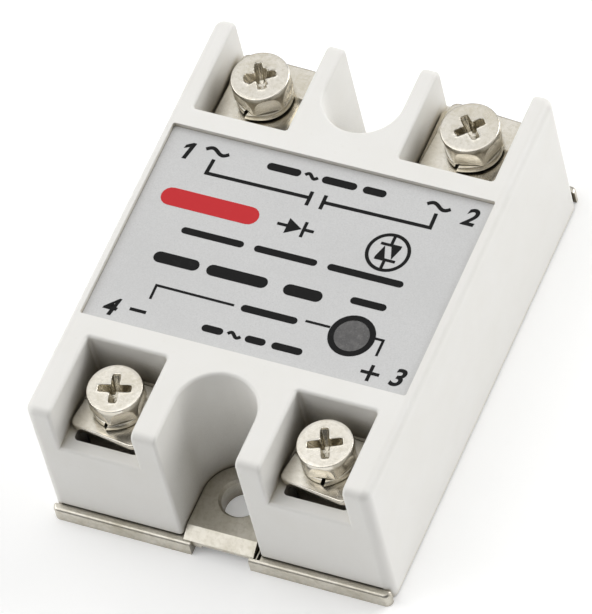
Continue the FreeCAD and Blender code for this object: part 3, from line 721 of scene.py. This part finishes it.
def pills(x0, x1, y, height, shares, space):
    """A row of bars in the place of a line of print, with the given relative lengths."""
    free = (x1 - x0) - space * (len(shares) - 1)
    bars, x = [], x0
    for share in shares:
        length = free * share / sum(shares)
        bars.append(pill(x, x + length, y, height))
        x += length + space
    return bars


def tilde(x, y, width, height, line):
    points = []
    for i in range(25):
        t = i / 24
        points.append((x - width / 2 + width * t, y + height / 2 * math.sin(2 * math.pi * t)))
    return stroke(points, line)


def ring_outline(x, y, radius, line):
    """Two halves of a circle's line, as outlines."""
    halves = []
    for start in (0, 180):
        arc = [math.radians(start + 7.5 * i) for i in range(25)]
        halves.append(stroke([(x + radius * math.cos(a), y + radius * math.sin(a)) for a in arc], line))
    return halves


def diode_symbol(x, y, size):
    """A rectifier's symbol on its line, in the place of a mark."""
    return [
        [(x - size, y - size), (x + size * 0.7, y), (x - size, y + size)],
        stroke([(x + size * 0.95, y - size), (x + size * 0.95, y + size)], 0.42),
        stroke([(x - size * 2.1, y), (x - size, y)], 0.42),
        stroke([(x + size * 0.95 + 0.21, y), (x + size * 2.1, y)], 0.42),
    ]


def switch_symbol(x, y, radius):
    """Two opposed triangles between bars in a ring, in the place of a mark."""
    w, h = radius * 0.52, radius * 0.42
    bars = [stroke([(x - w, y + side * h), (x + w, y + side * h)], 0.4) for side in (-1, 1)]
    low, high = y - h + 0.2, y + h - 0.2
    triangles = [
        [(x - w, low), (x - 0.1, low), (x - w / 2 - 0.05, high)],
        [(x + 0.1, high), (x + w / 2 + 0.05, low), (x + w, high)],
    ]
    stems = [stroke([(x, y + side * (h + 0.2)), (x, y + side * (radius - 0.2))], 0.4) for side in (-1, 1)]
    return ring_outline(x, y, radius, 0.45) + bars + triangles + stems


def figure(text, x, y):
    """A slanted bold figure as flat ink, from Blender's own font."""
    curve = bpy.data.curves.new("figure_" + text, "FONT")
    curve.body = text
    curve.size = 3.5
    curve.shear = 0.22
    curve.offset = 0.09
    curve.align_x = "CENTER"
    curve.align_y = "CENTER"
    curve.extrude = (PRINT_T + 0.005) / 2
    curve.resolution_u = 6
    holder = bpy.data.objects.new("figure_" + text, curve)
    bpy.context.scene.collection.objects.link(holder)
    mesh = bpy.data.meshes.new_from_object(holder.evaluated_get(bpy.context.evaluated_depsgraph_get()))
    verts = [(v.co.x + x, v.co.y + y, v.co.z + LABEL_TOP + (PRINT_T - 0.005) / 2) for v in mesh.vertices]
    faces = [list(p.vertices) for p in mesh.polygons]
    bpy.data.objects.remove(holder)
    bpy.data.curves.remove(curve)
    bpy.data.meshes.remove(mesh)
    return verts, faces


def figure_one(x, y):
    """A slanted bold 1 with a flag, as one outline."""
    height, lean = 2.5, 0.22
    corners = [(0.02, 0.0), (0.24, 0.0), (0.24, 1.0), (0.06, 1.0), (-0.22, 0.80), (-0.22, 0.58), (0.02, 0.72)]
    return [(x + height * (u + lean * (v - 0.5)), y + height * (v - 0.5)) for u, v in corners]


def wiring_lines():
    """The lines between the terminals' marks: the output contact and the input's lead-in."""
    output = (
        [(-14.62, 10.43), (-14.76, 8.30), (-1.25, 8.42)],
        [(-1.02, 9.38), (-1.02, 7.27)],
        [(0.84, 9.32), (0.84, 7.20)],
        [(1.07, 8.27), (14.88, 8.42), (14.82, 10.58)],
    )
    supply = (
        [(-14.12, -10.85), (-14.14, -8.77), (-3.83, -8.83)],
        [(5.42, -8.46), (8.65, -8.46)],
        [(14.55, -8.45), (15.60, -8.45), (15.60, -10.78)],
    )
    return [stroke(line, 0.48) for line in output] + [stroke(line, 0.34) for line in supply]


def terminal_marks():
    """The plus, minus and alternating-current signs beside the terminals."""
    signs = [tilde(x, 11.62, 3.1, 0.75, 0.5) for x in (-14.6, 14.75)]
    signs.append(stroke([(-15.95, -12.85), (-13.8, -12.85)], 0.45))
    signs.append(stroke([(14.6, -13.25), (17.0, -13.25)], 0.45))
    signs += [stroke([(15.8, y), (15.8, y + 0.95)], 0.45) for y in (-14.43, -13.02)]
    return signs


def label_print():
    shapes = wiring_lines() + terminal_marks()
    for row in WORD_ROWS:
        shapes += pills(*row)
    shapes += [tilde(x, y, 1.7, 0.6, 0.45) for x, y in ((-2.0, 11.45), (-2.15, -12.85))]
    shapes += diode_symbol(-1.0, 3.85, 1.15)
    shapes += switch_symbol(11.3, 3.6, 2.6)
    shapes.append(figure_one(-18.4, 10.8))
    parts = [ink_prism(shape) for shape in shapes]
    parts += [figure("2", 18.95, 11.1), figure("3", 19.15, -13.05), figure("4", -18.5, -13.3)]
    piece("label_print_black", merged(parts), "base", BLACK_INK, (), 30.0)
    red = ink_prism(pill(-18.9, -5.9, 3.9, 2.6))
    piece("label_print_red", red, "base", RED_INK, (), 30.0)


def indicator_ring():
    """A printed ring around the indicator's window."""
    x, y = 11.65, -8.9
    inner, outer, top = 2.24, 2.95, PRINT_T + 0.01
    levels = ((inner, 0.0), (inner, top), (outer, top), (outer, 0.0))
    loops = [turned(around(96, r, z), 0, (x, y, LABEL_TOP)) for r, z in levels]
    piece("indicator_ring", skin(loops, ring=True), "base", BLACK_INK, (), 30.0)


def paint_nodes():
    """Gives every CAD node the finish of its material slot in the record."""
    slots = {part["node"]: part["material_slot"] for part in frame["record"]["subparts"]}
    for name, node in frame["nodes"].items():
        node.data.materials.clear()
        node.data.materials.append(FINISHES[slots[name]])
        node.data.polygons.foreach_set("use_smooth", [True] * len(node.data.polygons))
        node.data.set_sharp_from_angle(angle=math.radians(28))


# Stage

FLOOR_HALF = 1.5
FLOOR_LEVEL = -0.02 * MM  # just under the base plate, so that the two faces don't fall together
LIGHT_AIM = (0, 0, 0.01)
# Softboxes: place and size in metres, power in watts
SOFTBOXES = {
    "sky": ((-0.40, 0.57, 0.97), (1.1, 1.1), 3.1),
    "overhead": ((0.0, 0.0, 1.0), (1.0, 1.0), 1.9),
    "key": ((-0.45, -0.5, 1.0), (1.0, 1.0), 3.7),
    "key_low": ((-1.0, -0.5, 0.65), (0.7, 0.7), 2.3),
    "left": ((-1.0, 0.0, 0.5), (0.8, 0.8), 4.1),
    "right": ((1.0, 0.1, 0.45), (0.8, 0.7), 1.6),
    "back_right": ((0.65, 0.85, 0.6), (0.8, 0.8), 9.4),
}


def floor():
    corners = [(-FLOOR_HALF, -FLOOR_HALF), (FLOOR_HALF, -FLOOR_HALF), (FLOOR_HALF, FLOOR_HALF),
               (-FLOOR_HALF, FLOOR_HALF)]
    mesh = bpy.data.meshes.new("floor")
    mesh.from_pydata([(x, y, FLOOR_LEVEL) for x, y in corners], [], [(0, 1, 2, 3)])
    s = Shader("pale_floor", (0.93, 0.93, 0.925), 0.7)
    s.set("Emission Color", (1, 1, 1, 1))
    s.set("Emission Strength", 0.17)
    mesh.materials.append(s.material)
    made = bpy.data.objects.new("floor", mesh)
    bpy.context.scene.collection.objects.link(made)


def softbox(name, place, size, power):
    data = bpy.data.lights.new(name, "AREA")
    data.shape = "RECTANGLE"
    data.size, data.size_y = size
    data.energy = power
    made = bpy.data.objects.new(name, data)
    made.location = place
    made.rotation_mode = "QUATERNION"
    made.rotation_quaternion = (Vector(LIGHT_AIM) - Vector(place)).to_track_quat("-Z", "Y")
    bpy.context.scene.collection.objects.link(made)


def lights():
    world = bpy.data.worlds.new("studio")
    world.use_nodes = True
    background = world.node_tree.nodes["Background"]
    background.inputs["Color"].default_value = (1.0, 0.995, 0.985, 1.0)
    background.inputs["Strength"].default_value = 0.08
    bpy.context.scene.world = world
    for name, (place, size, power) in SOFTBOXES.items():
        softbox(name, place, size, power)


# The camera's direction in degrees, its distance and its aim in metres
VIEW_AZIMUTH = 35.255
VIEW_ELEVATION = 54.220
VIEW_ROLL = -15.575
VIEW_DISTANCE = 0.92852
VIEW_AIM = (-0.000887, -0.000666, 0.01123)
LENS = 447.4


def camera():
    data = bpy.data.cameras.new("camera")
    data.lens = LENS
    data.sensor_width = 36.0
    data.clip_start, data.clip_end = 0.05, 20.0
    made = bpy.data.objects.new("camera", data)
    a, e = math.radians(VIEW_AZIMUTH), math.radians(VIEW_ELEVATION)
    back = Vector((math.sin(a) * math.cos(e), -math.cos(a) * math.cos(e), math.sin(e)))
    made.location = Vector(VIEW_AIM) + back * VIEW_DISTANCE
    made.rotation_mode = "QUATERNION"
    level = (-back).to_track_quat("-Z", "Y")
    made.rotation_quaternion = level @ Matrix.Rotation(math.radians(VIEW_ROLL), 4, "Z").to_quaternion()
    bpy.context.scene.collection.objects.link(made)
    bpy.context.scene.camera = made


paint_nodes()
for terminal_number in TERMINALS:
    terminal_screw(terminal_number)
    spring_washer(terminal_number)
    clamp_plate(terminal_number)
label_print()
indicator_ring()
floor()
lights()
camera()
bpy.context.scene.view_settings.view_transform = "Standard"
